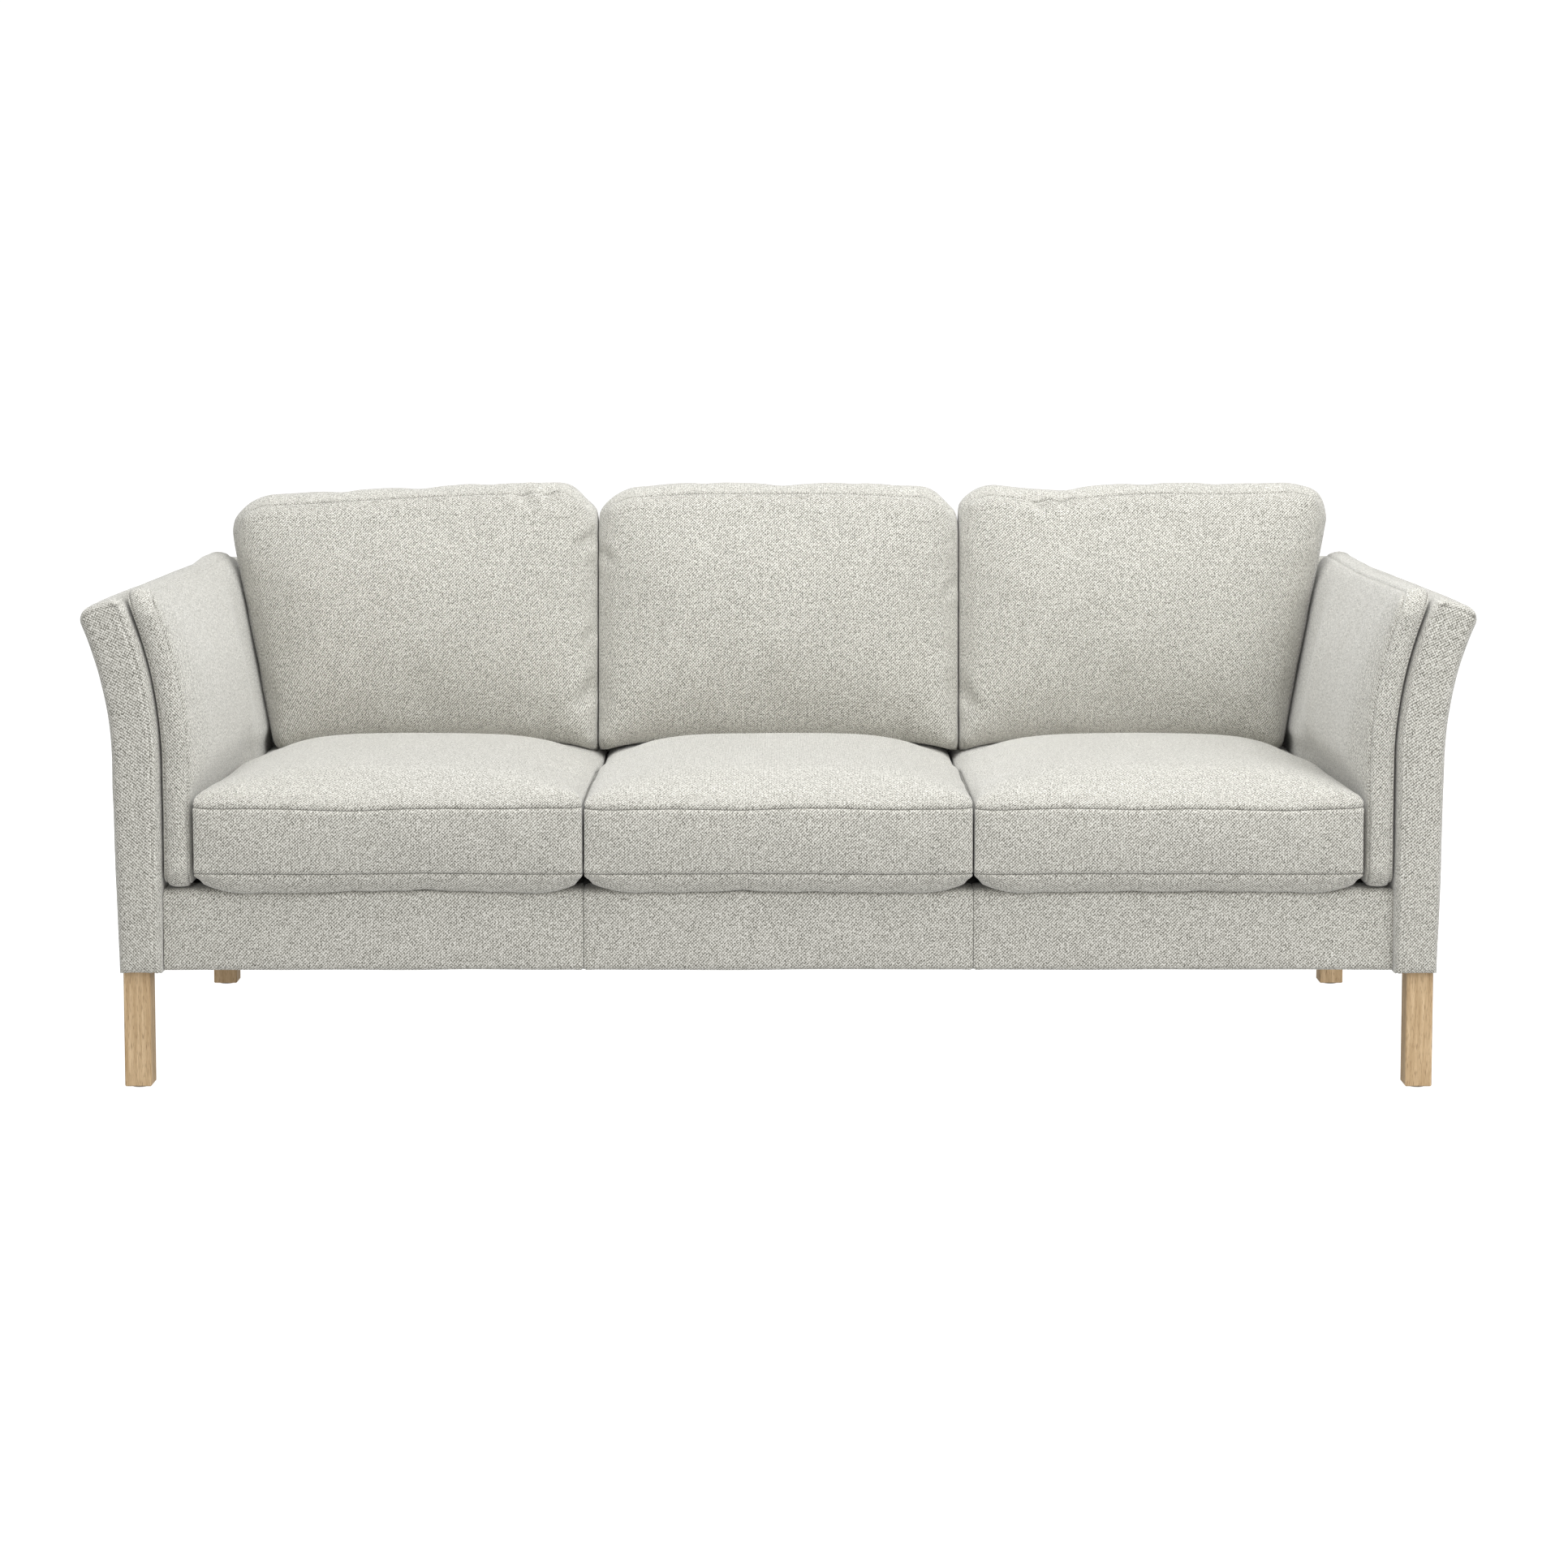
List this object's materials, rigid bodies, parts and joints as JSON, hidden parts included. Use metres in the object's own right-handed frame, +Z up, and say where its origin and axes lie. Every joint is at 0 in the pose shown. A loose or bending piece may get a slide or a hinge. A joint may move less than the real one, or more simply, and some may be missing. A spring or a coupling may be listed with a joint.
{
  "type": "sofa",
  "caption": "Upholstered sofa with flared arms, loose seat, back and side cushions in pale woven fabric, and straight square oak legs.",
  "frame": {"origin": "on the floor, under the middle of the sofa's box", "axes": "+X along the sofa's length, to the right of a person who stands in front of it; the front faces -Y; +Z up"},
  "size_m": [2.0904, 0.85, 0.88],
  "materials": {
    "upholstery_fabric": "matte",
    "cushion_foam": "matte",
    "oak": "satin",
    "frame_timber": "matte",
    "lining_board": "matte",
    "spring_steel": "satin",
    "bolt_steel": "satin",
    "felt": "matte",
    "platform_cloth": "matte",
    "dust_cloth": "matte"
  },
  "bodies": {
    "frame": {"arm_left_bottom_rail": "frame_timber", "arm_left_cover": "upholstery_fabric", "arm_left_front_post": "frame_timber", "arm_left_rear_post": "frame_timber", "arm_left_top_rail": "frame_timber", "arm_right_bottom_rail": "frame_timber", "arm_right_cover": "upholstery_fabric", "arm_right_front_post": "frame_timber", "arm_right_rear_post": "frame_timber", "arm_right_top_rail": "frame_timber", "back_bottom_rail": "frame_timber", "back_cover": "upholstery_fabric", "back_lining_board": "lining_board", "back_top_rail": "frame_timber", "back_upright_left": "frame_timber", "back_upright_right": "frame_timber", "centre_rail": "frame_timber", "dust_cover": "dust_cloth", "front_rail": "frame_timber", "front_rail_cover": "upholstery_fabric", "glide_front_left": "felt", "glide_front_right": "felt", "glide_rear_left": "felt", "glide_rear_right": "felt", "leg_bolt_front_left": "bolt_steel", "leg_bolt_front_right": "bolt_steel", "leg_bolt_rear_left": "bolt_steel", "leg_bolt_rear_right": "bolt_steel", "leg_front_left": "oak", "leg_front_right": "oak", "leg_rear_left": "oak", "leg_rear_right": "oak", "rear_rail": "frame_timber", "seat_platform": "platform_cloth", "seat_spring_1": "spring_steel", "seat_spring_2": "spring_steel", "seat_spring_3": "spring_steel", "seat_spring_4": "spring_steel", "seat_spring_5": "spring_steel", "seat_spring_6": "spring_steel", "seat_spring_7": "spring_steel", "seat_spring_8": "spring_steel", "side_rail_left": "frame_timber", "side_rail_right": "frame_timber"},
    "seat_cushion_left": {"seat_cushion_left_cover": "upholstery_fabric", "seat_cushion_left_core": "cushion_foam"},
    "seat_cushion_centre": {"seat_cushion_centre_cover": "upholstery_fabric", "seat_cushion_centre_core": "cushion_foam"},
    "seat_cushion_right": {"seat_cushion_right_cover": "upholstery_fabric", "seat_cushion_right_core": "cushion_foam"},
    "back_cushion_left": {"back_cushion_left_cover": "upholstery_fabric", "back_cushion_left_core": "cushion_foam"},
    "back_cushion_centre": {"back_cushion_centre_cover": "upholstery_fabric", "back_cushion_centre_core": "cushion_foam"},
    "back_cushion_right": {"back_cushion_right_cover": "upholstery_fabric", "back_cushion_right_core": "cushion_foam"},
    "side_cushion_left": {"side_cushion_left_cover": "upholstery_fabric", "side_cushion_left_core": "cushion_foam"},
    "side_cushion_right": {"side_cushion_right_cover": "upholstery_fabric", "side_cushion_right_core": "cushion_foam"}
  },
  "joints": [
    {"name": "seat_cushion_left_slide", "type": "slide", "parent": "frame", "child": "seat_cushion_left", "axis": [0, -1, 0], "range_m": [0, 0.77]},
    {"name": "seat_cushion_centre_slide", "type": "slide", "parent": "frame", "child": "seat_cushion_centre", "axis": [0, -1, 0], "range_m": [0, 0.77]},
    {"name": "seat_cushion_right_slide", "type": "slide", "parent": "frame", "child": "seat_cushion_right", "axis": [0, -1, 0], "range_m": [0, 0.77]},
    {"name": "back_cushion_left_lift", "type": "slide", "parent": "frame", "child": "back_cushion_left", "axis": [0, 0, 1], "range_m": [0, 0.36]},
    {"name": "back_cushion_centre_lift", "type": "slide", "parent": "frame", "child": "back_cushion_centre", "axis": [0, 0, 1], "range_m": [0, 0.36]},
    {"name": "back_cushion_right_lift", "type": "slide", "parent": "frame", "child": "back_cushion_right", "axis": [0, 0, 1], "range_m": [0, 0.36]},
    {"name": "side_cushion_left_slide", "type": "slide", "parent": "frame", "child": "side_cushion_left", "axis": [0, -1, 0], "range_m": [0, 0.77]},
    {"name": "side_cushion_right_slide", "type": "slide", "parent": "frame", "child": "side_cushion_right", "axis": [0, -1, 0], "range_m": [0, 0.77]}
  ]
}
